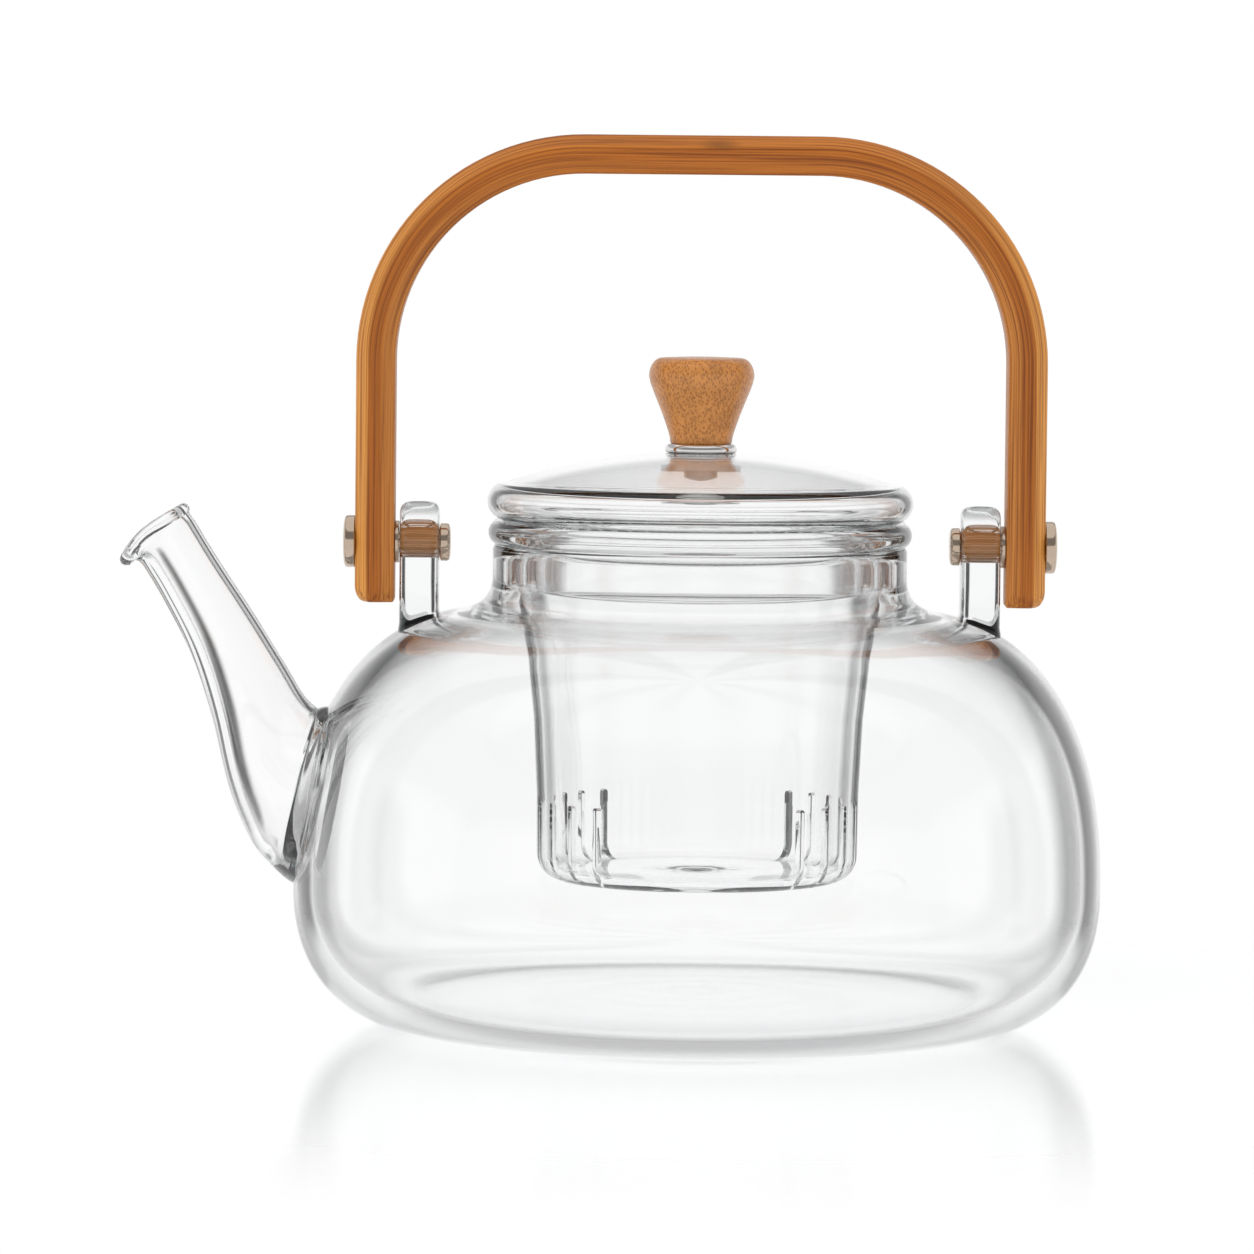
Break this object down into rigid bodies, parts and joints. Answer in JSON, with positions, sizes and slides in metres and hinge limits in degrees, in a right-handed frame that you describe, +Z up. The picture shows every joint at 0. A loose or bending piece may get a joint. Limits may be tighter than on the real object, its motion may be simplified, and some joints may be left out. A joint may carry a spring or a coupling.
{
  "type": "glass teapot",
  "caption": "Clear glass teapot with a low round body, a welded spout, a lift-out slitted infuser, a domed lid and a bent bamboo bail that swings on lugs",
  "frame": {"origin": "centre of the flat foot, on the pot's axis, on the ground", "axes": "+Z up along the pot's axis, -X out through the spout, +Y back; the picture looks along +Y"},
  "size_m": [0.1901, 0.1552, 0.1708],
  "materials": {
    "clear_glass": "clear blown borosilicate, smooth",
    "bamboo": "oiled honey bamboo with long fibres",
    "polished_chrome": "mirror polished",
    "pivot_metal": "polished warm nickel",
    "pivot_bush": "brown metal sleeve",
    "steel": "satin",
    "clear_silicone": "translucent, soft"
  },
  "bodies": {
    "pot": {"pot_body": "clear_glass", "spout": "clear_glass", "left_lug": "clear_glass", "right_lug": "clear_glass", "left_bush": "pivot_bush", "right_bush": "pivot_bush"},
    "infuser_cup": {"infuser": "clear_glass"},
    "lid": {"lid_glass": "clear_glass", "lid_knob": "bamboo", "knob_collar": "polished_chrome", "stem_seals": "clear_silicone", "retaining_washer": "steel", "knob_screw": "steel"},
    "bail": {"bail_handle": "bamboo", "left_pivot_bolt": "pivot_metal", "right_pivot_bolt": "pivot_metal", "left_cap_nut": "pivot_metal", "right_cap_nut": "pivot_metal", "left_washer": "pivot_metal", "right_washer": "pivot_metal"}
  },
  "joints": [
    {"name": "bail_hinge", "type": "hinge", "parent": "pot", "child": "bail", "pos_m": [0, 0, 0.0926], "axis": [1, 0, 0], "range_deg": [-102, 102]},
    {"name": "infuser_lift", "type": "slide", "parent": "pot", "child": "infuser_cup", "axis": [0, 0, 1], "range_m": [0, 0.033]},
    {"name": "lid_lift", "type": "slide", "parent": "infuser_cup", "child": "lid", "axis": [0, 0, 1], "range_m": [0, 0.033]}
  ]
}
